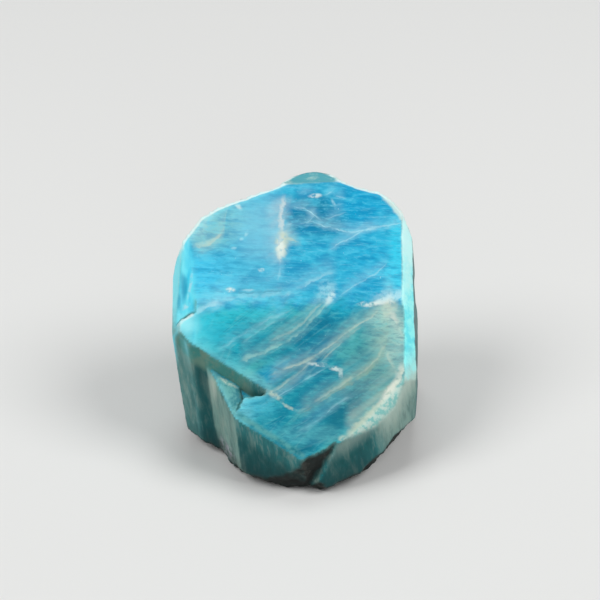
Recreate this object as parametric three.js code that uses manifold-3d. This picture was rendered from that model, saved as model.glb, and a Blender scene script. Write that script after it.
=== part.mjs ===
// Amazonite crystal: one short, blocky prism of blue-green microcline, broken off its matrix.
//
// Millimetres, +Z up. +X runs along the broad sloping top, +Y from the low front edge to the
// high back edge. The origin is on the resting face, under the middle of the crystal.
//
// The crystal grew as one piece, so it is one solid: a leaning prism whose top is cut by two
// cleavage planes, with a smaller crystal grown onto its front and others onto its back.

import * as THREE from 'three';
import { mergeVertices } from 'three/addons/utils/BufferGeometryUtils.js';
import Module from 'manifold-3d';

const wasm = await Module();
wasm.setup();

const vec = (x, y, z) => new THREE.Vector3(x, y, z);

// ---- Driving dimensions ----------------------------------------------------------------

const PRISM_HEIGHT = 40;                  // uncut prism, taller than any point of the crystal
const LEAN = { x: -0.115, y: 0.12 };      // sideways run of the prism's long axis per mm of height
const CUTTER = 60;                        // edge of a cutting block, larger than the crystal

// Sloping top: a steep facet below the crease, a gentler plateau above it.
const FRONT_TIP = vec(0.7, -11.1, 4.4);
const FACET_NORMAL = vec(0.06, -0.67, 0.74);
const CREASE_LEFT = vec(-9.3, 0.2, 15.3);
const PLATEAU_NORMAL = vec(0.05, -0.59, 0.81);

// Cross-section at the resting face, anticlockwise from the left front corner.
const FRONT_LEFT_WALL = [[-11.1, -3.0], [-10.5, -3.4], [-9.5, -4.2], [-7.8, -4.9]];
const LEDGE_WALLS = [[-5.5, -9.1], [1.2, -11.7]];
const FRONT_RIGHT_WALL = [[2.7, -11.0], [5.3, -10.0], [8.5, -8.4], [10.7, -6.9], [12.0, -5.3]];
const RIGHT_WALL = [[12.9, -4.4], [13.8, 5.0]];
const BACK_RIGHT_CORNER = [[13.8, 5.8], [13.4, 6.3], [13.0, 6.9], [12.0, 7.9], [10.9, 8.3]];
const BACK_WALL = { from: [9.9, 8.4], to: [7.0, 9.0], ledges: 2, depth: 0.1, seed: 7 };
const BACK_LEFT_WALL = { from: [0.8, 8.4], to: [-6.2, 6.0], ledges: 4, depth: 0.12, seed: 9 };
const BACK_LEFT_CORNER = [[-7.0, 5.7], [-7.7, 5.2], [-8.5, 4.3], [-9.3, 3.6], [-10.2, 2.8]];
const LEFT_WALL = { from: [-10.8, 1.8], to: [-11.1, -2.0], ledges: 3, depth: 0.12, seed: 5 };

// Smaller crystals grown onto the back: the first stands level with the plateau's rim.
const BACK_RIDGE = [
  [0.8, 8.2], [2.8, 8.4], [4.9, 8.6], [6.9, 8.8], [6.9, 9.2], [6.0, 10.1], [4.8, 10.7],
  [3.4, 10.6], [2.0, 9.8], [0.9, 9.0],
];
const BACK_STEP = [[6.2, 7.6], [12.2, 6.9], [11.5, 9.1], [10.2, 9.6], [10.0, 9.4], [7.0, 9.9]];
const LOW_STEP = [[-7.8, 3.6], [-2.4, 6.0], [-3.4, 8.3], [-5.8, 7.6], [-6.0, 7.2], [-8.6, 5.8]];

// ---- Solids from geometries ------------------------------------------------------------

function solidFrom(geometry) {
  const bare = geometry.clone();
  bare.deleteAttribute('normal');
  bare.deleteAttribute('uv');
  const merged = mergeVertices(bare, 1e-4);
  return new wasm.Manifold(new wasm.Mesh({
    numProp: 3,
    vertProperties: new Float32Array(merged.attributes.position.array),
    triVerts: new Uint32Array(merged.index.array),
  }));
}

function geometryFrom(solid) {
  const { vertProperties, triVerts } = solid.getMesh();
  const geometry = new THREE.BufferGeometry();
  geometry.setAttribute('position', new THREE.BufferAttribute(vertProperties, 3));
  geometry.setIndex(new THREE.BufferAttribute(triVerts, 1));
  geometry.computeVertexNormals();
  return geometry;
}

// Prism on a plan outline, sheared so that its long axis leans.
function leaningPrism(outline) {
  const shape = new THREE.Shape(outline.map(([x, y]) => new THREE.Vector2(x, y)));
  const geometry = new THREE.ExtrudeGeometry(shape, { depth: PRISM_HEIGHT, bevelEnabled: false });
  geometry.applyMatrix4(new THREE.Matrix4().makeShear(0, 0, 0, 0, LEAN.x, LEAN.y));
  return solidFrom(geometry);
}

// A prism face broken by long upright ledges: the points between its two ends, where the wall
// steps out and back by no more than the depth.
function ledgedWall({ from, to, ledges, depth, seed }) {
  const start = new THREE.Vector2(...from);
  const run = new THREE.Vector2(...to).sub(start);
  const outward = new THREE.Vector2(run.y, -run.x).normalize();
  const riser = 0.1 / run.length();
  const points = [from];
  let height = 0;
  for (let i = 1; i < ledges; i += 1) {
    const place = (i + 0.7 * (latticeValue(i, 0, seed) - 0.5)) / ledges;
    const next = depth * latticeValue(i, 1, seed);
    for (const [along, out] of [[place, height], [place + riser, next]]) {
      const corner = start.clone().addScaledVector(run, along).addScaledVector(outward, out);
      points.push([corner.x, corner.y]);
    }
    height = next;
  }
  return [...points, to];
}

// Places a geometry whose own +Z is its outward side on the plane through a point.
function onPlane(geometry, through, normal) {
  const turn = new THREE.Quaternion().setFromUnitVectors(vec(0, 0, 1), normal.clone().normalize());
  return geometry.applyQuaternion(turn).translate(through.x, through.y, through.z);
}

// Everything on the normal's side of a flat plane.
function beyond(through, normal) {
  const block = new THREE.BoxGeometry(CUTTER, CUTTER, CUTTER).translate(0, 0, CUTTER / 2);
  return solidFrom(onPlane(block, through, normal));
}

// A repeatable random number from 0 to 1 for one point of a square lattice.
function latticeValue(column, row, seed) {
  const wave = Math.sin(column * 127.1 + row * 311.7 + seed * 74.7) * 43758.5453;
  return wave - Math.floor(wave);
}

// Smooth noise from 0 to 1, about 1 unit from one hill to the next.
function noise(x, y, seed) {
  const column = Math.floor(x);
  const row = Math.floor(y);
  const ease = (t) => t * t * (3 - 2 * t);
  const along = ease(x - column);
  const across = ease(y - row);
  const near = THREE.MathUtils.lerp(
    latticeValue(column, row, seed), latticeValue(column + 1, row, seed), along);
  const far = THREE.MathUtils.lerp(
    latticeValue(column, row + 1, seed), latticeValue(column + 1, row + 1, seed), along);
  return THREE.MathUtils.lerp(near, far, across);
}

// Everything on the normal's side of a fracture: a plane broken into hackly steps.
function beyondFracture(through, normal, { size, cell, relief, seed }) {
  const cells = Math.round(size / cell);
  const depth = 12;
  const block = new THREE.BoxGeometry(size, size, depth, cells, cells, 1).translate(0, 0, depth / 2);
  const position = block.attributes.position;
  for (let i = 0; i < position.count; i += 1) {
    if (position.getZ(i) < depth / 2) {
      const x = position.getX(i);
      const y = position.getY(i);
      const lumps = noise(x / 2.6, y / 2.6, seed) - 0.5;
      const steps = Math.round(noise(x / 1.5, y / 1.1, seed + 5) * 3) / 3 - 0.5;
      position.setZ(i, relief * (lumps + 0.7 * steps));
    }
  }
  return solidFrom(onPlane(block, through, normal));
}

// An uneven shell-shaped hollow where an edge has flaked.
function chip(centre, radii, turn) {
  const lump = new THREE.IcosahedronGeometry(1, 1);
  const position = lump.attributes.position;
  for (let i = 0; i < position.count; i += 1) {
    const corner = vec().fromBufferAttribute(position, i);
    const reach = 0.75 + 0.5 * noise(corner.x * 1.5 + 9, corner.y * 1.5 + corner.z * 1.1 + 9, centre.x);
    position.setXYZ(i, ...corner.multiplyScalar(reach).toArray());
  }
  return solidFrom(lump.scale(...radii).rotateZ(turn).translate(...centre.toArray()));
}

const cutAll = (solid, cutters) => cutters.reduce((rest, cutter) => rest.subtract(cutter), solid);

// ---- The crystal -----------------------------------------------------------------------

function mainCrystal() {
  const outline = [
    ...FRONT_LEFT_WALL, ...LEDGE_WALLS, ...FRONT_RIGHT_WALL, ...RIGHT_WALL,
    ...BACK_RIGHT_CORNER, ...ledgedWall(BACK_WALL), ...ledgedWall(BACK_LEFT_WALL),
    ...BACK_LEFT_CORNER, ...ledgedWall(LEFT_WALL),
  ];
  const slopingTop = [beyond(FRONT_TIP, FACET_NORMAL), beyond(CREASE_LEFT, PLATEAU_NORMAL)];
  return cutAll(leaningPrism(outline), slopingTop);
}

// A smaller crystal standing on its own outline, ended by one flat face.
function sideCrystal(outline, topPoint, topNormal) {
  return leaningPrism(outline).subtract(beyond(topPoint, topNormal));
}

function backCrystals() {
  return [
    sideCrystal(BACK_RIDGE, vec(1.0, 13.0, 22.8), vec(-0.03, -0.04, 1)),
    sideCrystal(BACK_STEP, vec(7.5, 9.8, 15.5), vec(0.1, 0.55, 0.83)),
    sideCrystal(LOW_STEP, vec(-7.5, 7.5, 10.5), vec(-0.3, 0.5, 0.81)),
  ];
}

// The notch between the main crystal's front wall and the small crystal grown onto it.
function ledgeNotch() {
  const frontOfWall = beyond(vec(-7.8, -4.9, 0), vec(-0.35, -0.93, 0.07));
  const leftOfLedge = beyond(vec(-5.6, -6.85, 8.75), vec(-0.85, 0.35, 0.12));
  const recessFloor = beyond(vec(-7.2, -6.8, 8.6), vec(0.24, -0.41, 0.88));
  const recess = leftOfLedge.intersect(recessFloor);
  const behindLedge = beyond(vec(-3.1, -6.2, 9.0), vec(-0.13, 0.99, 0));
  const crackFloor = beyond(vec(-5.3, -5.3, 8.5), FACET_NORMAL);
  const crackEnd = beyond(vec(-5.7, -6.0, 9.0), vec(0.95, 0.3, 0));
  const crack = behindLedge.intersect(crackFloor).intersect(crackEnd);
  return frontOfWall.intersect(recess.add(crack));
}

// A facet that steps down to the left from the plateau, behind the steep facet's raised corner.
function leftStep() {
  const riser = vec(-10.2, -0.2, 14.9);
  const facet = beyond(riser, vec(-0.25, -0.68, 0.8));
  const leftOfRiser = beyond(riser, vec(-1, -0.05, 0.1));
  const behindCorner = beyond(vec(-11.8, -1.0, 14.4), vec(-0.39, 0.92, 0));
  return facet.intersect(leftOfRiser).intersect(behindCorner);
}

// Narrow faces along the right side, the back right corner, the front right edge and the
// facet's raised corner.
function bevels() {
  return [
    beyond(vec(10.6, 4.0, 16.8), vec(0.74, -0.42, 0.57)),
    beyond(vec(10.7, -0.7, 13.0), vec(0.75, -0.47, 0.52)),
    beyond(vec(9.0, 9.4, 21.2), vec(0.36, -0.33, 0.87)),
    beyond(vec(7.4, -7.5, 7.1), vec(0.36, -0.8, 0.48)),
    beyond(vec(-12.0, -1.4, 13.9), vec(-0.85, -0.3, 0.43)),
  ];
}

// The right wall stands more upright than the prism: it runs out for the upper half of its
// height, then drops straight.
function rightWallTrims() {
  return [
    beyond(vec(11.4, 0, 15.4), vec(1, -0.06, 0.1)),
    beyond(vec(12.1, 0, 5.0), vec(1, -0.045, 0)),
  ];
}

// A rough recess broken out under the front tip, ending in a small upright break on its right.
function underTip() {
  const recess = beyondFracture(
    vec(0.7, -11.0, 4.2), vec(0.46, -0.87, -0.14), { size: 24, cell: 0.6, relief: 0.5, seed: 20 });
  const leftOfBreak = beyond(vec(3.9, -9.7, 5.4), vec(-0.9, -0.15, 0.5));
  return recess.intersect(leftOfBreak);
}

// The broken underside: a flat middle, with fractures rising from it to the walls' lower ends.
function undersideFractures() {
  const places = [
    [vec(-8.8, -1.5, 0), vec(-0.42, -0.25, -0.87)],
    [vec(-4.1, -7.8, 0), vec(-0.4, -0.5, -0.77)],
    [vec(-1.0, -9.95, 0), vec(-0.18, -0.94, -0.27)],
    [vec(2.6, -9.3, 0), vec(0.3, -0.42, -0.86)],
    [vec(0, 6.2, 0), vec(0.05, 0.6, -0.8)],
    [vec(-6.5, 4.5, 0), vec(-0.5, 0.45, -0.74)],
  ];
  const rising = places.map(([through, normal], i) => (
    beyondFracture(through, normal, { size: 28, cell: 0.8, relief: 0.5, seed: i + 1 })));
  const rightFracture = beyondFracture(
    vec(8.6, -4.1, 0), vec(0.75, -0.44, -0.49), { size: 28, cell: 0.8, relief: 0.5, seed: 10 });
  const underRightWall = beyond(vec(12.0, -5.3, 4.5), vec(0.15, -0.1, -0.98));
  const shallowPits = beyondFracture(
    vec(0, 0, -0.3), vec(0, 0, -1), { size: 28, cell: 0.8, relief: 1.3, seed: 12 });
  return [...rising, rightFracture.intersect(underRightWall), shallowPits];
}

// Flakes lost from the edges, each [centre, radii, turn about the upright].
function edgeChips() {
  const flakes = [
    [vec(12.7, 1.2, 4.2), [0.8, 1.6, 1.1], 0],
    [vec(-8.9, 8.9, 20.9), [1.2, 0.5, 0.5], 0.8],
    [vec(6.3, 11.6, 22.6), [1.0, 0.4, 0.6], -0.3],
    [vec(11.9, 6.6, 12.0), [0.7, 1.1, 2.4], 0.2],
    [vec(-11.6, 3.0, 6.5), [0.7, 1.2, 1.9], -0.3],
    [vec(2.4, 11.0, 9.0), [1.8, 0.8, 1.5], -0.4],
    [vec(8.9, 9.6, 4.0), [2.2, 1.2, 1.6], -0.2],
  ];
  return flakes.map(([centre, radii, turn]) => chip(centre, radii, turn));
}

function crystal() {
  const grown = backCrystals().reduce((whole, side) => whole.add(side), mainCrystal());
  const cutters = [
    ledgeNotch(), leftStep(), underTip(), ...bevels(), ...rightWallTrims(),
    ...undersideFractures(), ...edgeChips(),
  ];
  return cutAll(grown, cutters);
}

// The middle of the crystal's outline comes to the origin, with the resting face at height 0.
function centred(geometry) {
  geometry.computeBoundingBox();
  const middle = geometry.boundingBox.getCenter(vec());
  return geometry.translate(-middle.x, -middle.y, -geometry.boundingBox.min.z);
}

const amazonite = new THREE.Mesh(
  centred(geometryFrom(crystal())),
  new THREE.MeshStandardMaterial({ color: 0x4fb6c8, roughness: 0.35, metalness: 0 }),
);
amazonite.name = 'amazonite_crystal';

const part = new THREE.Group();
part.add(amazonite);

export default part;
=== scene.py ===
"""Amazonite crystal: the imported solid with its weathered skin, its blue-green colour and its veins.

Lengths in the constants are millimetres in the part's own frame: +X along the broad sloping top,
+Y from the low front edge to the high back edge, +Z up from the resting face.
"""
import math

import bmesh
import bpy
import numpy as np
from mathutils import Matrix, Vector, noise


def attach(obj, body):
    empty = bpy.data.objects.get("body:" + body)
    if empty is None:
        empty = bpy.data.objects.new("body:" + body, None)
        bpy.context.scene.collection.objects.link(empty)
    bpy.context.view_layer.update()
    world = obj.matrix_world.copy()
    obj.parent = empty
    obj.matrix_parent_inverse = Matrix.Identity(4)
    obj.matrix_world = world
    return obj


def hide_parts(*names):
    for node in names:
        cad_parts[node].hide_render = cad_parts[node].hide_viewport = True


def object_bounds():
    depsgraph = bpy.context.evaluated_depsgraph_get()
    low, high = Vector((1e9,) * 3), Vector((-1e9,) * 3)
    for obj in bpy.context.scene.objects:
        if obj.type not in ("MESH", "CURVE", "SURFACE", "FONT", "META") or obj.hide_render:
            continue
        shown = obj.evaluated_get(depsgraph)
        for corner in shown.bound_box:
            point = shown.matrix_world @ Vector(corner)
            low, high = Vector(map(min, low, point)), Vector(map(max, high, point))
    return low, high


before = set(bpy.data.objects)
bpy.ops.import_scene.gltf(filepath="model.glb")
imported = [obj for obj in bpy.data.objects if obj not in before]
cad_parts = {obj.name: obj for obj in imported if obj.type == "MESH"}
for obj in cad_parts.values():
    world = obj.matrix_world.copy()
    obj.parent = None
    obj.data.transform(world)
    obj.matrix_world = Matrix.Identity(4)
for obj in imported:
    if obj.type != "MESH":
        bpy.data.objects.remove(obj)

CAD_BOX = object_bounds()

MM = 0.001
NODE = "amazonite_crystal"
BODY = "root"

# ---- Shape of the crystal, as its faces are picked out by it ---------------------------------

MESH_SIZE = 0.18                      # edge of the skin's quads
LEAN = (-0.115, 0.12)                 # sideways run of the long axis per mm of height
OUTLINE_SHIFT = (0.116, -1.19, 0.0)   # from the faces' points below to the part's frame
TOP_NORMAL = (0.055, -0.63, 0.775)

# Faces, each as (a point on it, the way it faces).
FACET = ((0.7, -11.1, 4.4), (0.06, -0.67, 0.74))
PLATEAU = ((-9.3, 0.2, 15.3), (0.05, -0.59, 0.81))
UPPER_SIDE_BEVEL = ((10.6, 4.0, 16.8), (0.74, -0.42, 0.57))
LOWER_SIDE_BEVEL = ((10.7, -0.7, 13.0), (0.75, -0.47, 0.52))
CORNER_BEVEL = ((9.0, 9.4, 21.2), (0.36, -0.33, 0.87))
FRONT_BEVEL = ((7.4, -7.5, 7.1), (0.36, -0.8, 0.48))
LEFT_BEVEL = ((-12.0, -1.4, 13.9), (-0.85, -0.3, 0.43))
RECESS_FLOOR = ((-7.2, -6.8, 8.6), (0.24, -0.41, 0.88))
STEP_FACET = ((-10.2, -0.2, 14.9), (-0.25, -0.68, 0.8))
BUMP_TOP = ((1.0, 13.0, 22.8), (-0.03, -0.04, 1.0))
UNDER_TIP = ((0.7, -11.0, 4.2), (0.46, -0.87, -0.14))
TIP_BREAK = ((3.9, -9.7, 5.4), (-0.9, -0.15, 0.5))

# The ways the walls face, from the left round the front to the right.
LEFT_WALL = (-0.95, -0.2, 0.2)
SLIVER = (-0.88, -0.48, 0.0)
FIRST_WALL = (-0.4, -0.92, 0.0)
SECOND_WALL = (-0.36, -0.93, 0.0)
THIRD_WALL = (0.4, -0.92, 0.0)
RIGHT_FRONT = (0.7, -0.71, 0.0)
RIGHT_WALL = (1.0, -0.05, 0.0)

# Heights of the relief.
LEDGES = 0.08
FINE_LEDGES = 0.05
TERRACES = 0.035
SWELL = 0.05
FLUTES = 0.16
HACKLE = 0.2
SKIN_LIFT = 0.1                       # makes up for what wear takes off the edges

# Places and rounds of the softening.
FAR_SIDE_ROUNDS = 14
AFTER_RELIEF_ROUNDS = 2
CORNER_PIT = (10.8, 8.3, 4.2)         # where a pit leaves only a thin edge of the back corner
CORNER_PIT_REACH = (2.4, 2.4, 3.2)
CORNER_PIT_ROUNDS = 40

UP_SLOPE = (0.0, 0.59, 0.81)          # the way in which the veins' second coordinate counts
LEVEL_TILT = 0.045                    # fall of the level streaks per mm to the right


# ---- Skin ------------------------------------------------------------------------------------

def smoothstep(value, low, high):
    """0 below low, 1 above high, smooth between; falls instead where low is the higher."""
    t = np.clip((value - low) / (high - low), 0.0, 1.0)
    return t * t * (3.0 - 2.0 * t)


def even_copy(node, name):
    """A closed copy of a CAD node with quads of one size."""
    mesh = node.data.copy()
    bm = bmesh.new()
    bm.from_mesh(mesh)
    bmesh.ops.remove_doubles(bm, verts=bm.verts, dist=0.002 * MM)
    bm.to_mesh(mesh)
    bm.free()
    piece = bpy.data.objects.new(name, mesh)
    bpy.context.scene.collection.objects.link(piece)
    remesh = piece.modifiers.new("Remesh", "REMESH")
    remesh.mode = "VOXEL"
    remesh.voxel_size = MESH_SIZE * MM
    shown = piece.evaluated_get(bpy.context.evaluated_depsgraph_get())
    even = bpy.data.meshes.new_from_object(shown)
    piece.modifiers.clear()
    piece.data = even
    return piece


class Skin:
    """The points of a piece as arrays, in mm, with what lies next to each."""

    def __init__(self, mesh):
        self.mesh = mesh
        count = len(mesh.vertices)
        self.place = np.empty(count * 3)
        mesh.vertices.foreach_get("co", self.place)
        self.place = self.place.reshape(-1, 3) / MM
        self.out = np.empty(count * 3)
        mesh.vertices.foreach_get("normal", self.out)
        self.out = self.out.reshape(-1, 3)
        ends = np.empty(len(mesh.edges) * 2, dtype=np.int64)
        mesh.edges.foreach_get("vertices", ends)
        self.near, self.far = ends.reshape(-1, 2).T
        self.links = np.bincount(ends, minlength=count)

    def spread(self, value, rounds):
        """The value averaged with its neighbours, over and over."""
        count = len(value)
        for _ in range(rounds):
            total = np.bincount(self.near, value[self.far], count)
            total += np.bincount(self.far, value[self.near], count)
            value = 0.5 * (value + total / self.links)
        return value

    def bend(self):
        """How sharply the skin turns, per mm: above 0 on an edge, below in a hollow."""
        step = self.place[self.far] - self.place[self.near]
        turn = self.out[self.far] - self.out[self.near]
        bend = (step * turn).sum(1) / np.maximum((step * step).sum(1), 1e-6)
        count = len(self.place)
        total = np.bincount(self.near, bend, count) + np.bincount(self.far, bend, count)
        return total / self.links

    def facing(self, normal, loose, tight):
        """1 where the skin faces the way of the normal, 0 where it turns away."""
        normal = np.array(Vector(normal).normalized())
        return smoothstep(self.out @ normal, loose, tight)

    def depth_under(self, through, normal):
        """How far each point lies behind the plane of a face."""
        unit = np.array(Vector(normal).normalized())
        return (np.array(through) + OUTLINE_SHIFT - self.place) @ unit

    def under_top(self):
        """How far each point lies under the two faces of the sloping top."""
        return np.minimum(self.depth_under(*FACET), self.depth_under(*PLATEAU))

    def on_plane(self, through, normal, reach=0.12):
        """1 on the flat face through a point."""
        gap = np.abs(self.depth_under(through, normal))
        return smoothstep(gap, 2.0 * reach, reach) * self.facing(normal, 0.9, 0.96)

    def around(self, centre, radii):
        """1 at a place in the part's frame, fading to 0 on an ellipsoid around it."""
        reach = np.sqrt((((self.place - np.array(centre)) / np.array(radii)) ** 2).sum(1))
        return smoothstep(reach, 1.0, 0.2)

    def noise(self, scale, seed=0.0, detail=1):
        """Noise from about -1 to 1; the scale is hills per mm along each axis."""
        return hills(self.place * np.array(scale) + seed * 17.3, detail)

    def keep(self, name, value):
        """Stores one number per point, for the material to read."""
        layer = self.mesh.attributes.new(name, "FLOAT", "POINT")
        layer.data.foreach_set("value", value.astype(np.float32))

    def soften(self, share, rounds):
        """Evens out the points where share is 1, as wear rounds a thin edge."""
        for _ in range(rounds):
            middle = np.column_stack([self.spread(axis, 1) for axis in self.place.T])
            self.place += (middle - self.place) * share[:, None]
        self.mesh.vertices.foreach_set("co", (self.place * MM).ravel())
        self.mesh.update()
        self.mesh.vertices.foreach_get("normal", self.out.reshape(-1))

    def move(self, outward):
        """Moves every point along its own outward direction by that many mm."""
        moved = self.place + self.out * outward[:, None]
        self.place = np.clip(moved, np.array(CAD_BOX[0]) / MM, np.array(CAD_BOX[1]) / MM)
        self.mesh.vertices.foreach_set("co", (self.place * MM).ravel())
        self.mesh.update()


def hills(spots, detail=1):
    """Noise from about -1 to 1 at rows of three coordinates."""
    if detail == 1:
        return np.array([noise.noise(spot) for spot in spots.tolist()])
    return np.array([noise.fractal(spot, 0.9, 2.1, detail) for spot in spots.tolist()])


crystal = even_copy(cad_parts[NODE], "crystal")
skin = Skin(crystal.data)

# The far side's step edges and pit rims are worn round; the top and the resting face aren't.
far_side = smoothstep(skin.place[:, 1], 2.5, 5.0) * smoothstep(skin.place[:, 2], 0.1, 0.6)
far_side *= smoothstep(skin.under_top(), 1.0, 2.2)
skin.soften(far_side, FAR_SIDE_ROUNDS)
skin.soften(skin.around(CORNER_PIT, CORNER_PIT_REACH) * far_side, CORNER_PIT_ROUNDS)

height = skin.place[:, 2]
plan = skin.place[:, :2] - height[:, None] * np.array(LEAN)
plan_x, plan_y = plan.T
downward = -skin.out[:, 2]
under_top = skin.under_top()
rim = skin.spread(np.clip(skin.bend(), 0.0, 4.0), 6)
hollow = skin.spread(np.clip(-skin.bend(), 0.0, 4.0), 5)

top = skin.facing(TOP_NORMAL, 0.93, 0.97) * (1.0 - far_side)
side_bevel_highlight = np.maximum(skin.on_plane(*UPPER_SIDE_BEVEL), skin.on_plane(*LOWER_SIDE_BEVEL))
corner_bevel_highlight = skin.on_plane(*CORNER_BEVEL)
front_bevel = skin.on_plane(*FRONT_BEVEL)
left_bevel = skin.on_plane(*LEFT_BEVEL)
recess_floor = skin.on_plane(*RECESS_FLOOR)
step_facet = skin.on_plane(*STEP_FACET)
bump_top = skin.on_plane(*BUMP_TOP)

# Broken skin: the fractures that rise from the base, rough and dull, with the faces that look down
# and the face under the tip.
ragged = skin.noise((0.5, 0.5, 0.5), 3.0, 3)
low = smoothstep(height + 1.2 * ragged, 3.4, 1.6)
# The faces that look down and the face under the tip are dark in the material as painted shade.
undercut = smoothstep(downward, 0.12, 0.3)
under_tip = skin.on_plane(*UNDER_TIP, 0.7)
under_tip *= smoothstep(under_top, 0.0, 0.25)
under_tip *= smoothstep(skin.depth_under(*TIP_BREAK), 0.15, -0.1)
broken_and_shaded = np.maximum(low * smoothstep(downward, -0.1, 0.15), np.maximum(undercut, under_tip))
resting = smoothstep(height, 0.12, 0.02) * smoothstep(downward, 0.9, 0.98)

# Long upright ledges on the walls, faint level terraces on the top, a hackly break.
upright = np.column_stack([plan, height * 0.06])
steps = np.round(hills(upright * 0.9 + 4.0) * 4.0) / 4.0 * LEDGES
steps = steps + hills(upright * 2.6 + 9.0) * FINE_LEDGES
sideways = skin.place[:, 0]
slope_place = skin.place @ np.array(UP_SLOPE) + LEVEL_TILT * sideways
flat = np.zeros(len(slope_place))
level = np.column_stack([sideways * 0.12, slope_place * 1.3, flat])
terraces = np.round(hills(level) * 5.0) / 5.0 * TERRACES
swell = skin.noise((0.22, 0.22, 0.22), 5.0) * SWELL
fluted = np.column_stack([sideways * 1.1, slope_place * 0.12, flat])
flutes = hills(fluted + 2.0) * FLUTES
hackle = skin.noise((1.1, 1.1, 1.3), 7.0, 3) * HACKLE
wear = rim * (0.02 + 0.06 * np.clip(skin.noise((0.8, 0.8, 0.8), 11.0, 2) + 0.2, 0.0, 1.0))

wall = (1.0 - top) * (1.0 - broken_and_shaded) * (1.0 - np.clip(skin.out[:, 2], 0.0, 1.0))
relief = top * (terraces + swell) + wall * steps + broken_and_shaded * (hackle - 0.05) + step_facet * flutes
relief = skin.spread(relief, 1) + SKIN_LIFT
skin.move((relief - wear) * (1.0 - resting))
skin.soften(far_side, AFTER_RELIEF_ROUNDS)

# Zones of the walls, by the way they face and their place round the outline.
ripple = skin.noise((0.45, 0.45, 0.12), 21.0, 3)
sliver = skin.facing(SLIVER, 0.86, 0.96) * smoothstep(plan_x, -9.0, -8.4) * (1.0 - top)
first_wall = smoothstep(plan_x + 0.4 * ripple, -7.2, -7.9) * skin.facing(FIRST_WALL, 0.5, 0.8)
second_wall = skin.facing(SECOND_WALL, 0.9, 0.97) * smoothstep(plan_x, -7.0, -6.0)
third_wall = skin.facing(THIRD_WALL, 0.8, 0.95)
right_front = skin.facing(RIGHT_FRONT, 0.88, 0.96) * smoothstep(plan_x, 8.2, 9.8)
right_wall = skin.facing(RIGHT_WALL, 0.85, 0.95)
left_wall = skin.facing(LEFT_WALL, 0.7, 0.9) * smoothstep(height + ripple, 9.0, 13.0)
band = smoothstep(under_top + 0.25 * ripple, 1.7, 1.0) * smoothstep(plan_x, -2.6, -4.6)
band *= skin.facing(FIRST_WALL, 0.5, 0.8)
band *= smoothstep(0.4 * plan_x + 0.92 * plan_y, -10.2, -9.4)
# Paler wall zones: the sliver, the right end of the third wall and the right front corner are a paler
# tone; the left end of the first wall, more so near the top, is a painted highlight.
pale_and_highlight = np.maximum.reduce([
    first_wall * smoothstep(plan_x + 0.3 * ripple, -8.8, -10.0) * 0.3,
    first_wall * smoothstep(under_top + 0.8 * ripple, 3.6, 1.0)
    * smoothstep(plan_x, -8.0, -9.0) * 0.6,
    sliver * 0.85,
    third_wall * smoothstep(plan_x + 0.8 * ripple, 8.2, 11.2),
    right_front,
])
# Painted shade on the walls that face the front: the first wall towards its right end, the second
# below the top, the third towards its left end, the right wall towards the front.
painted_wall_shade = np.maximum.reduce([
    first_wall * smoothstep(plan_x + 0.3 * ripple, -9.6, -8.9),
    second_wall * smoothstep(under_top, 0.2, 1.8),
    third_wall * smoothstep(plan_x + 0.8 * ripple, 9.8, 6.0) * 0.85,
    right_wall * smoothstep(plan_y, 7.0, 4.0) * 0.8,
])
cream_edge = skin.around((-9.0, -6.3, 8.8), (1.3, 1.5, 4.0)) * smoothstep(plan_x, -8.2, -7.7)
cream_edge *= skin.facing((-0.7, -0.5, 0.3), 0.3, 0.7) * 0.85
pale_edge = np.maximum(right_front, third_wall * smoothstep(plan_x, 8.0, 10.5) * 0.7)
pale_edge *= smoothstep(under_top + 0.4 * ripple, 2.4, 0.2)
under_cream = third_wall * smoothstep(plan_x, 3.6, 5.0) * smoothstep(under_top, 1.3, 0.1)
pale_edge = np.maximum(pale_edge, 0.5 * under_cream)
step_facet *= smoothstep(skin.place[:, 0] + 0.3 * ripple, -9.9, -10.7)
leftward = 0.25 + 0.75 * smoothstep(skin.place[:, 0], 2.0, -6.0)
# The convex rims near the top, where the material paints a highlight.
highlight_rim = rim * smoothstep(under_top, 1.3, 0.5)
# Painted glow: the top is lightened along its rims, more so higher up and towards the left, as if
# light came through the thin edges.
painted_glow = np.clip(rim, 0.0, 1.2) * smoothstep(height, 5.0, 12.0) * leftward
frost = skin.around((-6.9, -7.6, 2.2), (2.2, 2.2, 1.6))

# Kept on the skin for the material, with how far each is spread.
for name, value, rounds in (
    ("top", top, 0), ("side_bevel_highlight", side_bevel_highlight, 5), ("corner_bevel_highlight", corner_bevel_highlight, 4),
    ("front_bevel", front_bevel, 2), ("left_bevel", left_bevel, 1), ("step_facet", step_facet, 2),
    ("recess_floor", recess_floor, 1), ("bump_top", bump_top, 1), ("broken_and_shaded", broken_and_shaded, 2),
    ("pale_and_highlight", pale_and_highlight, 2), ("painted_wall_shade", painted_wall_shade, 2), ("sliver", sliver, 1), ("band", band, 1),
    ("left_wall", left_wall, 4), ("cream_edge", cream_edge, 2), ("pale_edge", pale_edge, 3),
    ("frost", frost, 0), ("rim", highlight_rim, 0), ("hollow", hollow, 0), ("painted_glow", painted_glow, 30),
):
    skin.keep(name, skin.spread(value, rounds))
crystal.data.shade_smooth()

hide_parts(NODE)
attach(crystal, BODY)


# ---- Materials -------------------------------------------------------------------------------

def paint(red, green, blue):
    """A colour from its screen values, 0 to 255, as the shader wants it."""
    linear = [((v / 255.0 + 0.055) / 1.055) ** 2.4 for v in (red, green, blue)]
    return (*linear, 1.0)


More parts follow.
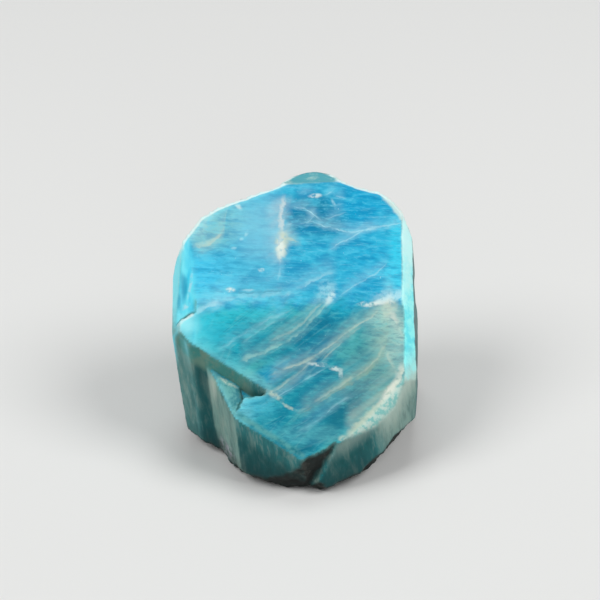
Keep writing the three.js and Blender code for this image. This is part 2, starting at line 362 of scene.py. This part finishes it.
class Value:
    """A socket on its way through a material; arithmetic on it adds Math nodes."""

    def __init__(self, maker, socket):
        self.maker = maker
        self.socket = socket

    def math(self, operation, *values, clamp=False):
        settings = {"operation": operation, "use_clamp": clamp}
        return self.maker.node("ShaderNodeMath", settings, dict(enumerate(values)))

    def __add__(self, other):
        return self.math("ADD", self, other)

    def __sub__(self, other):
        return self.math("SUBTRACT", self, other)

    def __rsub__(self, other):
        return self.math("SUBTRACT", other, self)

    def __mul__(self, other):
        return self.math("MULTIPLY", self, other)

    def __truediv__(self, other):
        return self.math("DIVIDE", self, other)

    def __abs__(self):
        return self.math("ABSOLUTE", self)

    __radd__ = __add__
    __rmul__ = __mul__

    def clamped(self):
        return self.math("ADD", self, 0.0, clamp=True)

    def larger(self, other):
        return self.math("MAXIMUM", self, other)

    def step(self, low, high):
        """0 below low, 1 above high, smooth between; falls instead where low is the higher."""
        flip = low > high
        ends = (high, low) if flip else (low, high)
        inputs = {"Value": self, "From Min": ends[0], "From Max": ends[1]}
        inputs["To Min"], inputs["To Max"] = (1.0, 0.0) if flip else (0.0, 1.0)
        settings = {"interpolation_type": "SMOOTHSTEP", "clamp": False}
        return self.maker.node("ShaderNodeMapRange", settings, inputs)

    def band(self, low, high, soft):
        """1 from low to high, fading over the soft distance at both ends."""
        return self.step(low - soft, low) * self.step(high + soft, high)

    def line(self, middle, width):
        """1 where the value is at the middle, 0 beyond the width on either side."""
        return abs(self - middle).step(width, 0.0)


class Maker:
    """Builds one material's nodes."""

    def __init__(self, name):
        self.material = bpy.data.materials.new(name)
        self.material.use_nodes = True
        self.tree = self.material.node_tree
        self.shader = self.tree.nodes["Principled BSDF"]

    def node(self, kind, settings, inputs, output=0):
        made = self.tree.nodes.new(kind)
        for key, setting in settings.items():
            setattr(made, key, setting)
        for key, value in inputs.items():
            self.feed(made.inputs[key], value)
        return Value(self, made.outputs[output])

    def feed(self, socket, value):
        if isinstance(value, Value):
            self.tree.links.new(value.socket, socket)
        else:
            socket.default_value = value

    def attribute(self, name):
        return self.node("ShaderNodeAttribute", {"attribute_name": name}, {}, "Fac")

    def mix(self, factor, first, second):
        """From the first colour to the second."""
        return self.node(
            "ShaderNodeMix", {"data_type": "RGBA"}, {0: factor, 6: first, 7: second}, 2)

    def point(self, x, y, z=0.0):
        return self.node("ShaderNodeCombineXYZ", {}, {0: x, 1: y, 2: z})

    def noise(self, vector, scale, detail=2.0, roughness=0.5, distortion=0.0):
        inputs = {"Vector": vector, "Scale": scale, "Detail": detail, "Roughness": roughness,
                  "Distortion": distortion}
        return self.node("ShaderNodeTexNoise", {}, inputs)

    def curve(self, value, points):
        """A smooth line through the points; both axes run from 0 to 1."""
        made = self.tree.nodes.new("ShaderNodeFloatCurve")
        line = made.mapping.curves[0]
        while len(line.points) < len(points):
            line.points.new(0.5, 0.5)
        for knot, (x, y) in zip(line.points, sorted(points)):
            knot.location = (x, y)
        made.mapping.update()
        self.feed(made.inputs["Value"], value)
        return Value(self, made.outputs[0])


amazonite = Maker("amazonite")
mask = amazonite.attribute
place = amazonite.node("ShaderNodeTexCoord", {}, {}, "Object")
place = amazonite.node(
    "ShaderNodeVectorMath", {"operation": "SCALE"}, {0: place, "Scale": 1.0 / MM})
x, y, z = [amazonite.node("ShaderNodeSeparateXYZ", {}, {0: place}, i) for i in range(3)]
place = amazonite.point(x, y, z)

# The pattern's coordinates: mm along the top and mm up its slope.
PATTERN_START = (-0.2, -0.05)
plain_along = x - PATTERN_START[0]
plain_rise = y * UP_SLOPE[1] + z * UP_SLOPE[2] - PATTERN_START[1]
VEIN_SLOPE = math.radians(36.0)       # how steeply the cream veins climb to the right
CREASE_RISE = 12.0                    # where the facet meets the plateau, mm up the slope
with_veins = plain_along * math.cos(VEIN_SLOPE) + plain_rise * math.sin(VEIN_SLOPE)
across_veins = plain_rise * math.cos(VEIN_SLOPE) - plain_along * math.sin(VEIN_SLOPE)
streak_rise = plain_rise + x * LEVEL_TILT
upright_x = x - z * LEAN[0]
upright_y = y - z * LEAN[1]

# Noise fields. They all read plain coordinates, so the material stays within its memory.
warp = amazonite.noise(place, 0.5, 1.0) - 0.5
tilt_warp = amazonite.noise(place, 0.62, 1.0) - 0.5
fine_warp = amazonite.noise(place, 2.6, 2.0) - 0.5
vein_grain = amazonite.noise(place, 1.9, 2.0, 0.55)
vein_breaks = amazonite.noise(amazonite.point(with_veins * 0.6, across_veins * 0.9, 9.0), 1.0, 2.0)
vein_clouds = amazonite.noise(
    amazonite.point(with_veins * 0.14, across_veins * 0.5, 7.0), 1.0, 3.0, 0.5, 0.3)
hair_field = amazonite.noise(
    amazonite.point(with_veins * 0.09, across_veins * 0.6, 1.0), 1.0, 2.0, 0.5, 0.5)
strand_field = amazonite.noise(
    amazonite.point(with_veins * 0.12, across_veins * 1.3, 3.0), 1.0, 1.5, 0.5)
streaks = amazonite.noise(
    amazonite.point(x * 0.22, streak_rise * 2.2, y * 0.05), 1.0, 3.0, 0.6, 0.3)
fine_streaks = amazonite.noise(amazonite.point(x * 0.5, streak_rise * 6.0, 3.0), 1.0, 2.0, 0.6)
thread = amazonite.noise(amazonite.point(x * 0.16, streak_rise * 1.5, 11.0), 1.0, 4.0, 0.6, 0.3)
clouds = amazonite.noise(place, 0.33, 3.0)
puffs = amazonite.noise(place, 0.8, 3.0, 0.6)
mottle = amazonite.noise(
    amazonite.point(x * 0.5, streak_rise * 1.4, y * 0.3), 1.0, 4.0, 0.55, 0.3)
fine_mottle = amazonite.noise(
    amazonite.point(x * 1.2, streak_rise * 3.2, y * 0.5 + 5.0), 1.0, 3.0, 0.6, 0.3)
speck_field = amazonite.noise(place, 5.5, 1.0)
upright_streaks = amazonite.noise(
    amazonite.point(upright_x, upright_y, z * 0.16), 0.9, 4.0, 0.6)
wall_clouds = amazonite.noise(
    amazonite.point(upright_x * 0.8, upright_y * 0.8, z * 0.28 + 3.0), 1.0, 4.0, 0.6, 0.4)
wall_grain = amazonite.noise(
    amazonite.point(upright_x * 3.0, upright_y * 3.0, z * 0.7), 1.0, 2.0, 0.6)
facet_flutes = amazonite.noise(
    amazonite.point(plain_along * 0.9, plain_rise * 0.25, 1.0), 1.0, 3.0)

# A little cloudiness in the coordinates keeps every vein and border from being a clean line.
along = plain_along + tilt_warp * 0.5 + fine_warp * 0.12
rise = plain_rise + warp * 0.5 + fine_warp * 0.2
pattern = amazonite.point(along, rise)

grain = vein_grain - 0.5
breaks = vein_breaks.step(0.3, 0.56) * 0.65 + 0.35
hairs = hair_field.line(0.5, 0.03).larger(hair_field.line(0.42, 0.02)) * vein_breaks.step(0.4, 0.6)
strands = strand_field.step(0.1, 0.75)
streak_mean = streaks * 0.5 + fine_streaks * 0.5
light_streak = streak_mean.step(0.50, 0.64)
dark_streak = streak_mean.step(0.48, 0.36)
threads = thread.line(0.5, 0.02) * streaks.step(0.4, 0.6)
specks = speck_field.step(0.74, 0.8) * puffs.step(0.4, 0.6)

LOW_END, HIGH_END = -14.0, 28.0       # span of the pattern's coordinates
SPAN = HIGH_END - LOW_END
along_share = (along - LOW_END) / SPAN
rise_share = (rise - LOW_END) / SPAN


def vein(points, width, upright=False, fade=1.2, soft_side=2.6, haze=0.5):
    """A line through (mm along, mm up): sharp below, milky above, as a sheet that dips in."""
    run, cross = (rise_share, along_share) if upright else (along_share, rise_share)
    if upright:
        points = [(b, a) for a, b in points]
    points = sorted(points)
    (start, a), (end, b) = points[0], points[-1]
    lean = math.cos(math.atan((b - a) / (end - start)))
    shares = [[(v - LOW_END) / SPAN for v in point] for point in points]
    side = (cross - amazonite.curve(run, shares)) * (lean * SPAN * (-1.0 if upright else 1.0))
    side = side + grain * (width * 1.6 + 0.08)
    gap = (side * (1.0 / soft_side)).larger(side * -1.0)
    core = gap.step(width, 0.0) * breaks
    beside = gap.step(width * 2.5 + 0.3, 0.0) * strands * haze
    ends = (rise if upright else along).band(start + fade / 2, end - fade / 2, fade)
    return core.larger(beside) * ends


turned_patterns = {0.0: pattern}


def spot(centre, radii, soft=0.4, turn=0.0):
    """An oval patch at (mm along, mm up the slope), 1 inside and 0 outside."""
    cos, sin = math.cos(turn), math.sin(turn)
    if turn not in turned_patterns:
        turned_patterns[turn] = amazonite.point(along * cos + rise * sin, rise * cos - along * sin)
    middle = (centre[0] * cos + centre[1] * sin, centre[1] * cos - centre[0] * sin)
    placed = amazonite.node("ShaderNodeVectorMath", {"operation": "MULTIPLY_ADD"}, {
        0: turned_patterns[turn], 1: (1.0 / radii[0], 1.0 / radii[1], 0.0),
        2: (-middle[0] / radii[0], -middle[1] / radii[1], 0.0)})
    reach = amazonite.node("ShaderNodeVectorMath", {"operation": "LENGTH"}, {0: placed}, "Value")
    return reach.step(1.0 + soft, 1.0 - soft)


def layered(colour, *coats):
    """The colour with each coat, (mask, colour), laid over it in turn."""
    for cover, coat in coats:
        colour = amazonite.mix(cover, colour, coat)
    return colour


# Soft clouds of colour: tint, share, centre (mm along, mm up), radii, softness, turn.
PLATEAU_CLOUDS = [
    (paint(74, 206, 240), 0.85, (-8.8, 15.0), (3.6, 3.0), 0.6, 0.0),
    (paint(78, 184, 214), 0.7, (-4.5, 16.3), (3.4, 2.6), 0.6, 0.0),
    (paint(98, 194, 216), 0.8, (-4.6, 20.6), (3.0, 1.7), 0.5, 0.0),
    (paint(126, 200, 208), 0.95, (-8.3, 20.0), (3.2, 2.4), 0.45, 0.5),
    (paint(184, 220, 216), 0.7, (-9.8, 20.6), (0.9, 3.0), 0.7, -0.75),
    (paint(0, 126, 162), 1.0, (2.2, 21.1), (3.7, 2.0), 0.5, 0.0),
    (paint(0, 164, 208), 0.9, (6.8, 22.0), (2.6, 2.0), 0.6, 0.0),
    (paint(30, 184, 222), 0.6, (8.6, 16.4), (3.4, 3.2), 0.6, 0.0),
    (paint(56, 214, 240), 0.7, (10.6, 17.5), (1.0, 4.0), 0.5, 0.0),
    (paint(90, 216, 236), 0.6, (-5.5, 12.9), (6.5, 0.8), 0.6, 0.0),
    (paint(80, 220, 244), 0.6, (10.0, 14.6), (1.4, 1.8), 0.6, 0.0),
]
FACET_CLOUDS = [
    (paint(20, 180, 202), 0.8, (-8.0, 9.4), (4.2, 2.4), 0.6, 0.0),
    (paint(46, 198, 214), 0.75, (-5.0, 11.4), (5.4, 1.2), 0.6, 0.05),
    (paint(10, 124, 160), 0.7, (1.6, 7.3), (3.0, 1.1), 0.6, 0.6),
    (paint(30, 180, 208), 0.7, (4.6, 11.7), (2.4, 0.9), 0.6, 0.2),
    (paint(96, 208, 216), 0.6, (-7.2, 7.0), (3.4, 0.7), 0.6, -0.62),
    (paint(110, 214, 222), 0.6, (-10.0, 8.6), (1.4, 0.9), 0.6, -0.6),
    (paint(36, 156, 196), 0.7, (-2.5, 5.0), (2.6, 0.9), 0.6, 0.6),
    (paint(168, 212, 202), 0.95, (9.5, 9.2), (2.1, 3.2), 0.5, 0.0),
    (paint(80, 158, 160), 0.5, (7.0, 7.6), (3.0, 1.6), 0.6, 0.6),
    (paint(98, 164, 158), 0.7, (8.5, 4.4), (2.3, 2.0), 0.6, 0.7),
    (paint(24, 116, 132), 0.8, (5.2, 1.7), (2.6, 1.3), 0.6, 0.7),
    (paint(24, 116, 134), 0.6, (3.4, -0.7), (1.5, 0.8), 0.6, 0.6),
    (paint(86, 166, 178), 0.6, (1.4, -0.9), (3.4, 1.0), 0.5, 0.0),
    (paint(14, 100, 116), 0.5, (0.6, -2.3), (1.6, 0.5), 0.4, 0.0),
    (paint(124, 206, 204), 0.6, (-3.9, 4.6), (2.0, 0.5), 0.6, -0.6),
    (paint(72, 186, 210), 0.8, (-4.3, 1.9), (2.2, 1.0), 0.6, 0.0),
    (paint(124, 226, 238), 0.8, (-5.7, 1.0), (1.6, 1.4), 0.5, 0.0),
]

plateau = amazonite.mix(clouds.step(0.40, 0.60) * 0.6, paint(48, 178, 212), paint(34, 160, 200))
for tint, share, centre, radii, soft, turn in PLATEAU_CLOUDS:
    plateau = amazonite.mix(spot(centre, radii, soft, turn) * share, plateau, tint)
plateau = layered(
    plateau,
    (mottle.step(0.56, 0.34) * 0.55, paint(0, 136, 184)),
    (mottle.step(0.50, 0.72) * 0.5, paint(86, 206, 232)),
    (fine_mottle.step(0.5, 0.34) * 0.22, paint(0, 130, 180)),
    (fine_mottle.step(0.52, 0.68) * 0.35, paint(100, 208, 232)),
    (dark_streak * 0.22, paint(6, 142, 190)),
    (light_streak * 0.2, paint(92, 206, 230)),
    (threads * 0.25, paint(150, 218, 234)),
    (specks * 0.6, paint(196, 232, 240)),
)
facet = layered(
    paint(24, 150, 170),
    (vein_clouds.step(0.53, 0.35) * 0.8, paint(0, 122, 154)),
    (vein_clouds.step(0.52, 0.68) * 0.7, paint(80, 184, 184)),
)
for tint, share, centre, radii, soft, turn in FACET_CLOUDS:
    facet = amazonite.mix(spot(centre, radii, soft, turn) * share, facet, tint)
facet = layered(
    facet,
    (mottle.step(0.56, 0.34) * 0.4, paint(0, 112, 142)),
    (mottle.step(0.50, 0.72) * 0.3, paint(84, 186, 196)),
    (fine_mottle.step(0.5, 0.34) * 0.35, paint(0, 108, 136)),
    (fine_mottle.step(0.52, 0.68) * 0.3, paint(88, 192, 198)),
    (dark_streak * 0.12, paint(6, 118, 146)),
    (hairs * 0.15, paint(140, 206, 204)),
    (specks * 0.4, paint(176, 222, 226)),
)
crease = rise - x * LEVEL_TILT - CREASE_RISE + (puffs - 0.5) * 3.0
top_colour = amazonite.mix(crease.step(-1.0, 0.9), facet, plateau)

CREAM = paint(198, 214, 196)
OCHRE = paint(164, 178, 140)
WHITE = paint(228, 240, 234)
MILK = paint(178, 226, 236)
ROSE = paint(228, 232, 218)
SHADOW = paint(30, 120, 158)

VEINS = [
    # colour, share, half width, points (mm along, mm up)
    (paint(170, 216, 206), 0.6, 0.2, [
        (-5.3, 6.5), (-3.1, 7.1), (-1.9, 7.8), (0.5, 9.2), (1.6, 10.3), (2.8, 11.6), (3.7, 13.1)]),
    (CREAM, 0.4, 0.16, [(-2.2, 8.4), (0.4, 9.8), (1.5, 10.9), (2.6, 12.0)]),
    (MILK, 0.3, 0.16, [(-7.3, 7.6), (-5.4, 8.8), (-3.2, 10.2), (-0.6, 11.2)]),
    (MILK, 0.25, 0.14, [(-5.0, 8.2), (-3.4, 9.4), (-1.2, 10.6)]),
    (CREAM, 0.6, 0.15, [
        (-2.2, 5.0), (-1.0, 5.5), (0.3, 5.9), (1.6, 6.5), (2.7, 7.3), (4.4, 8.5), (6.0, 9.7),
        (8.2, 11.2), (9.6, 12.4)]),
    (CREAM, 0.45, 0.14, [(-2.8, 3.1), (-1.3, 3.9), (0.5, 5.1), (1.5, 6.2)]),
    (CREAM, 0.45, 0.12, [(2.9, 6.5), (4.1, 7.6), (4.9, 8.4), (6.4, 9.5)]),
    (MILK, 0.4, 0.1, [(-2.4, 2.6), (-0.4, 3.6), (1.2, 4.6), (3.2, 5.6)]),
    (OCHRE, 0.35, 0.12, [(0.8, 1.2), (4.1, 3.2), (5.5, 4.2)]),
    (OCHRE, 0.4, 0.34, [(4.6, 3.6), (5.5, 4.2), (6.7, 4.9), (8.0, 6.0), (8.9, 7.2), (9.2, 8.4)]),
    (CREAM, 0.45, 0.18, [
        (0.6, 1.4), (1.6, 2.0), (4.1, 3.5), (5.5, 4.5), (6.7, 5.2), (8.0, 6.4), (8.9, 7.6)]),
    (MILK, 0.4, 0.12, [(0.7, -0.4), (2.1, 0.5), (3.9, 1.8), (5.4, 2.7)]),
    (CREAM, 1.0, 0.42, [
        (5.2, -1.4), (6.6, -0.2), (7.9, 1.2), (9.2, 2.6), (10.2, 4.0), (11.0, 5.5)]),
    (OCHRE, 0.5, 0.2, [(5.6, -1.6), (7.0, -0.4), (8.3, 1.0), (9.6, 2.4)]),
    (ROSE, 0.6, 0.3, [(9.0, 11.8), (9.9, 10.7), (10.5, 9.4)]),
    (CREAM, 0.5, 0.2, [(8.9, 7.5), (9.5, 6.4), (10.0, 5.2)]),
    (MILK, 0.35, 0.08, [(-1.0, 20.1), (0.4, 20.3), (1.8, 20.4)]),
    (MILK, 0.7, 0.08, [(1.8, 20.4), (3.3, 20.0), (4.8, 19.6), (7.0, 19.5), (8.2, 19.7)]),
    (MILK, 0.6, 0.1, [(3.6, 17.7), (5.2, 18.6), (6.8, 19.4), (8.4, 19.9), (11.0, 20.3)]),
    (MILK, 0.4, 0.1, [(3.2, 20.8), (4.9, 21.2)]),
    (MILK, 0.45, 0.1, [(4.6, 12.9), (5.7, 13.8), (7.0, 14.5), (8.4, 15.2), (9.2, 16.2)]),
    (MILK, 0.5, 0.22, [(-1.0, 12.9), (1.1, 14.0), (2.6, 14.7), (3.9, 15.3)]),
    (CREAM, 0.65, 0.22, [(-9.9, 17.9), (-8.9, 18.1), (-7.9, 18.7), (-7.3, 19.5), (-7.1, 20.3)]),
    (MILK, 0.7, 0.3, [(-12.2, 11.8), (-11.2, 10.9), (-9.8, 11.2), (-8.5, 11.9), (-7.4, 12.0)]),
    (MILK, 0.4, 0.4, [(-8.0, 12.2), (-5.5, 12.8), (-3.5, 12.9), (-1.0, 13.2)]),
    (MILK, 0.8, 0.08, [(0.9, 21.9), (1.5, 21.5), (2.3, 20.9)]),
    (MILK, 0.6, 0.06, [(-0.4, 22.0), (0.9, 21.9)]),
    (MILK, 0.6, 0.06, [(1.3, 20.4), (1.8, 20.9)]),
    (MILK, 0.5, 0.09, [(0.5, 23.5), (1.7, 23.7)]),
    (MILK, 0.6, 0.09, [(3.3, 23.3), (3.9, 23.7)]),
    (MILK, 0.6, 0.09, [(4.3, 23.2), (4.9, 22.9)]),
    (MILK, 0.4, 0.09, [(4.0, 22.1), (4.6, 22.2)]),
    (SHADOW, 0.5, 0.12, [(-5.9, 13.2), (-3.5, 13.2), (-0.9, 13.4)]),
    (SHADOW, 0.5, 0.12, [(-0.2, 1.6), (1.6, 1.9), (3.0, 2.3)]),
]
PATCHES = [
    # colour, share, centre, radii, turn
    (WHITE, 0.7, (2.1, 23.1), (0.6, 0.22), 0.0),
    (MILK, 0.6, (4.0, 22.3), (0.14, 0.5), 0.3),
    (CREAM, 0.95, (-1.35, 18.1), (0.6, 1.25), 0.0),
    (WHITE, 0.85, (-1.4, 17.7), (0.42, 0.85), 0.0),
    # The next two ovals are painted highlights, small glints on the plateau.
    (WHITE, 0.85, (-6.5, 13.5), (0.42, 0.22), 0.0),
    (MILK, 0.6, (-4.7, 13.5), (0.6, 0.12), 0.0),
    (WHITE, 0.6, (-3.4, 15.5), (0.3, 0.13), 0.0),
    (WHITE, 0.6, (-5.9, 22.2), (0.55, 0.25), -0.9),
    (MILK, 0.6, (-4.9, 19.2), (0.15, 0.3), -0.5),
    (MILK, 0.5, (-5.4, 18.7), (0.2, 0.15), 0.0),
    (MILK, 0.5, (-6.2, 17.7), (0.25, 0.15), 0.0),
    (WHITE, 0.7, (3.5, 12.7), (0.35, 0.8), -0.5),
    (MILK, 0.5, (3.2, 13.2), (0.9, 1.1), 0.0),
    (WHITE, 0.75, (7.6, 12.1), (1.1, 0.2), 0.08),
    (WHITE, 0.75, (8.8, 12.3), (1.0, 0.3), 0.2),
    (WHITE, 0.7, (9.6, 12.5), (0.35, 0.55), 0.4),
    (MILK, 0.7, (10.4, 12.9), (0.7, 0.4), 0.5),
    (MILK, 0.5, (9.4, 12.9), (1.6, 0.5), 0.15),
    (CREAM, 0.5, (9.4, 11.5), (0.6, 0.9), -0.6),
    (CREAM, 0.7, (-2.1, 3.0), (0.9, 0.28), -0.55),
    (CREAM, 0.6, (-0.7, 1.9), (0.8, 0.14), -0.5),
    (WHITE, 0.65, (2.4, 6.0), (1.0, 0.18), -0.1),
    (WHITE, 0.65, (4.1, 5.6), (0.6, 0.2), -0.2),
    (WHITE, 0.5, (4.6, 5.0), (0.18, 0.4), 0.0),
    (SHADOW, 0.5, (2.4, 6.4), (0.3, 0.12), 0.3),
    (CREAM, 0.7, (4.8, -1.3), (0.4, 0.3), 0.0),
    (ROSE, 0.9, (9.5, 3.3), (1.5, 0.42), 0.9),
    (ROSE, 0.5, (10.7, 5.4), (1.0, 0.4), 1.1),
    (CREAM, 0.8, (7.6, 1.0), (1.5, 0.3), 0.75),
    (MILK, 0.6, (7.4, -0.4), (1.2, 0.3), 0.6),
]
crumb = vein_grain.step(0.34, 0.56) * 0.85 + 0.15
UPRIGHT_VEIN = [
    (-1.15, 22.9), (-1.3, 21.9), (-1.3, 20.6), (-1.35, 19.2), (-1.35, 17.8), (-1.5, 16.4)]
UPRIGHT_TAIL = [(-1.4, 17.0), (-1.5, 16.0), (-1.6, 14.6)]
milky_left = (along + 1.3 + (puffs - 0.5) * 1.4).step(0.5, -0.3) * rise.band(17.0, 23.0, 2.0)
top_colour = layered(
    top_colour,
    # Painted glow and highlight at the facet's left corner, where light comes through the thin
    # corner.
    (spot((-9.6, 9.8), (2.2, 1.5), 0.8, -0.4) * 0.6, paint(70, 214, 232)),
    (spot((-11.0, 10.1), (1.1, 0.8), 0.9, -0.3) * 0.9, paint(158, 240, 248)),
    (milky_left * spot((-3.0, 19.8), (3.0, 3.4), 0.6) * 0.5, paint(138, 204, 224)),
)
for tint, share, width, points in VEINS:
    top_colour = amazonite.mix(vein(points, width) * share, top_colour, tint)
top_colour = layered(
    top_colour,
    (vein(UPRIGHT_VEIN, 0.42, True, 1.2, 1.6, 0.5) * 0.85, paint(206, 220, 220)),
    (vein(UPRIGHT_TAIL, 0.14, True) * 0.4, MILK),
    (vein([(-1.2, 18.5), (-0.5, 18.6), (0.3, 18.3)], 0.2) * 0.7, CREAM),
)
for tint, share, centre, radii, turn in PATCHES:
    cover = spot(centre, radii, 0.6, turn) * crumb * share
    top_colour = amazonite.mix(cover, top_colour, tint)

# Walls: upright streaks, darker and greener than the top.
# The light streaks, clouds and grain are damped in the painted shade.
quiet = 1.0 - mask("painted_wall_shade") * 0.7
wall_colour = layered(
    paint(50, 124, 126),
    # Paler tone, and a painted highlight on the first wall's left end.
    (mask("pale_and_highlight"), paint(126, 158, 150)),
    # Painted shade on the walls that face the front.
    (mask("painted_wall_shade"), paint(4, 84, 86)),
    (mask("sliver"), paint(114, 152, 144)),
    (upright_streaks.step(0.5, 0.34) * 0.3, paint(16, 74, 76)),
    (upright_streaks.step(0.54, 0.7) * 0.14 * quiet, paint(118, 160, 152)),
    (wall_clouds.step(0.48, 0.68) * 0.42 * quiet, paint(150, 168, 156)),
    (wall_clouds.step(0.5, 0.32) * 0.45, paint(20, 84, 88)),
    (wall_grain.step(0.52, 0.7) * 0.2 * quiet, paint(170, 186, 176)),
    (wall_grain.step(0.46, 0.3) * 0.25, paint(24, 70, 72)),
    # More painted shade towards the bottom of those walls.
    (mask("painted_wall_shade") * (z + (puffs - 0.5) * 3.0).step(4.6, 0.8) * 0.6, paint(12, 50, 52)),
    (mask("band") * 0.8, amazonite.mix(
        puffs.step(0.4, 0.62), paint(68, 140, 132), paint(108, 144, 128))),
    (mask("pale_edge") * 0.7, paint(196, 214, 202)),
    (mask("cream_edge"), paint(226, 236, 220)),
    (mask("left_wall"), paint(110, 214, 230)),
    (mask("frost") * vein_grain.step(0.4, 0.6), paint(186, 190, 198)),
)

# Dark broken skin: partly the colour of the fractures at the base, partly painted shade on the faces
# that look down and under the tip.
broken_and_shade_colour = layered(
    paint(42, 48, 46),
    (clouds.step(0.45, 0.65) * 0.7, paint(26, 29, 28)),
    (puffs.step(0.55, 0.75) * 0.5, paint(84, 86, 80)),
)

# Painted highlight: pale lines along the convex edges, strong near the top and faint lower down.
painted_edge_highlight = mask("rim").step(0.5, 1.3)
upper = z.step(13.0, 15.5)
colour = layered(
    wall_colour,
    (mask("top"), top_colour),
    # The recess floor: a duller teal with a cream crumb, partly its own tone and partly painted
    # shadow of the wall above it.
    (mask("recess_floor"), layered(
        amazonite.mix(puffs.step(0.4, 0.6), paint(40, 124, 134), paint(96, 166, 164)),
        (spot((-6.7, 4.2), (0.9, 0.2), 0.6, -0.5) * crumb * 0.8, CREAM))),
    (mask("step_facet") * 0.9, layered(
        amazonite.mix(facet_flutes.step(0.3, 0.6), paint(48, 198, 230), paint(112, 232, 246)),
        (spot((-11.2, 13.7), (0.32, 1.3), 0.6, 0.1) * 0.8, paint(8, 150, 186)),
        (spot((-11.7, 12.3), (0.22, 0.8), 0.6) * 0.7, paint(14, 156, 194)),
        (spot((-10.55, 14.0), (0.16, 1.3), 0.6, -0.1) * crumb * 0.8, MILK),
        (spot((-10.9, 11.9), (0.5, 0.2), 0.6, 0.7) * crumb * 0.8, MILK))),
    (mask("bump_top"), layered(
        paint(82, 162, 174), (puffs.step(0.42, 0.66) * 0.8, paint(160, 198, 194)))),
    # Painted highlight: the side bevel is painted pale grey-green low down and bright cyan-white
    # higher up.
    ((mask("side_bevel_highlight") + (puffs - 0.5) * 0.9).step(0.15, 0.75)
        * mask("side_bevel_highlight").step(0.02, 0.3),
        amazonite.mix((z + (puffs - 0.5) * 6.0).step(13.0, 19.0),
            amazonite.mix((z + (puffs - 0.5) * 3.0).step(8.6, 11.6), paint(186, 212, 202),
                amazonite.mix(puffs.step(0.35, 0.6), paint(112, 236, 246), paint(156, 255, 255))),
            paint(206, 255, 252))),
    # Painted highlight: the corner bevel is painted pale.
    ((mask("corner_bevel_highlight") + (puffs - 0.5) * 0.9).step(0.15, 0.75) * 0.8, paint(204, 226, 216)),
    (mask("front_bevel") * 0.95, amazonite.mix(
        vein_grain.step(0.4, 0.6), paint(142, 206, 200), paint(200, 226, 216))),
    # The left bevel: teal low down, and higher up a painted highlight in bright cyan along the rim.
    (mask("left_bevel"), amazonite.mix(
        (z + (puffs - 0.5) * 2.0).step(12.5, 15.0), paint(104, 160, 158), paint(136, 232, 244))),
    # Painted glow along the rims of the top.
    (mask("painted_glow").step(0.05, 0.5) * mask("top") * 0.3, paint(150, 234, 240)),
    # Painted shade: darker in the hollows, off the top.
    (mask("hollow").step(0.4, 1.4) * (1.0 - mask("top")) * 0.5, paint(34, 62, 58)),
    # Broken skin, its dark colour partly painted shade on the undersides and under the tip.
    (mask("broken_and_shaded"), broken_and_shade_colour),
    (painted_edge_highlight * upper * 0.85, paint(222, 242, 238)),
    (painted_edge_highlight * (1.0 - upper) * 0.08, paint(150, 196, 192)),
)

relief_map = light_streak * 0.2 + upright_streaks * 0.35 + fine_warp * 0.4
bump = amazonite.node(
    "ShaderNodeBump", {}, {"Strength": 0.3, "Distance": 0.12 * MM, "Height": relief_map})
roughness = 0.34 + clouds * 0.12 + mask("broken_and_shaded") * 0.35

amazonite.feed(amazonite.shader.inputs["Base Color"], colour)
amazonite.feed(amazonite.shader.inputs["Roughness"], roughness.clamped())
amazonite.feed(amazonite.shader.inputs["Normal"], bump)
for socket, setting in (
    ("Subsurface Weight", 0.25), ("Subsurface Radius", (0.5, 1.0, 1.1)),
    ("Subsurface Scale", 0.8 * MM), ("Specular IOR Level", 0.16), ("IOR", 1.52),
):
    amazonite.shader.inputs[socket].default_value = setting
crystal.data.materials.clear()
crystal.data.materials.append(amazonite.material)


# ---- Studio ----------------------------------------------------------------------------------

FLOOR_SIDE = 3.0                      # metres, as are the lamps' places and sizes
LAMP_TARGET = (0.0, 0.0, 0.012)
CAMERA_TARGET = (0.32, -1.30, 16.28)
CAMERA_DISTANCE = 225.0
CAMERA_ELEVATION = math.radians(36.0)


def aim(obj, target):
    """Turns a lamp or camera to look at a point."""
    obj.rotation_euler = (Vector(target) - obj.location).to_track_quat("-Z", "Y").to_euler()


def soft_light(name, place, size, power):
    lamp = bpy.data.lights.new(name, "AREA")
    lamp.shape = "DISK"
    lamp.size = size
    lamp.energy = power
    obj = bpy.data.objects.new(name, lamp)
    bpy.context.scene.collection.objects.link(obj)
    obj.location = place
    aim(obj, LAMP_TARGET)


def studio_floor():
    bm = bmesh.new()
    bmesh.ops.create_grid(bm, x_segments=1, y_segments=1, size=FLOOR_SIDE / 2)
    mesh = bpy.data.meshes.new("floor")
    bm.to_mesh(mesh)
    bm.free()
    floor = bpy.data.objects.new("floor", mesh)
    bpy.context.scene.collection.objects.link(floor)
    card = Maker("floor card")
    card.shader.inputs["Base Color"].default_value = paint(222, 222, 220)
    card.shader.inputs["Roughness"].default_value = 0.9
    mesh.materials.append(card.material)


studio_floor()
soft_light("left key", (-0.26, -0.06, 0.33), 0.22, 0.78)
soft_light("right key", (0.26, -0.04, 0.32), 0.22, 0.78)
soft_light("back light", (0.0, 0.16, 0.38), 0.20, 0.35)
soft_light("front fill", (0.06, -0.45, 0.16), 0.25, 0.2)

world = bpy.data.worlds.new("studio air")
bpy.context.scene.world = world
world.use_nodes = True
air = world.node_tree.nodes["Background"]
air.inputs["Color"].default_value = (0.94, 0.97, 1.0, 1.0)
air.inputs["Strength"].default_value = 0.24

camera_data = bpy.data.cameras.new("camera")
camera_data.lens = 135.0
camera_data.clip_start = 0.01
camera = bpy.data.objects.new("camera", camera_data)
bpy.context.scene.collection.objects.link(camera)
back_off = Vector((0.0, -math.cos(CAMERA_ELEVATION), math.sin(CAMERA_ELEVATION)))
camera.location = (Vector(CAMERA_TARGET) + back_off * CAMERA_DISTANCE) * MM
aim(camera, Vector(CAMERA_TARGET) * MM)
bpy.context.scene.camera = camera
bpy.context.scene.view_settings.view_transform = "Standard"
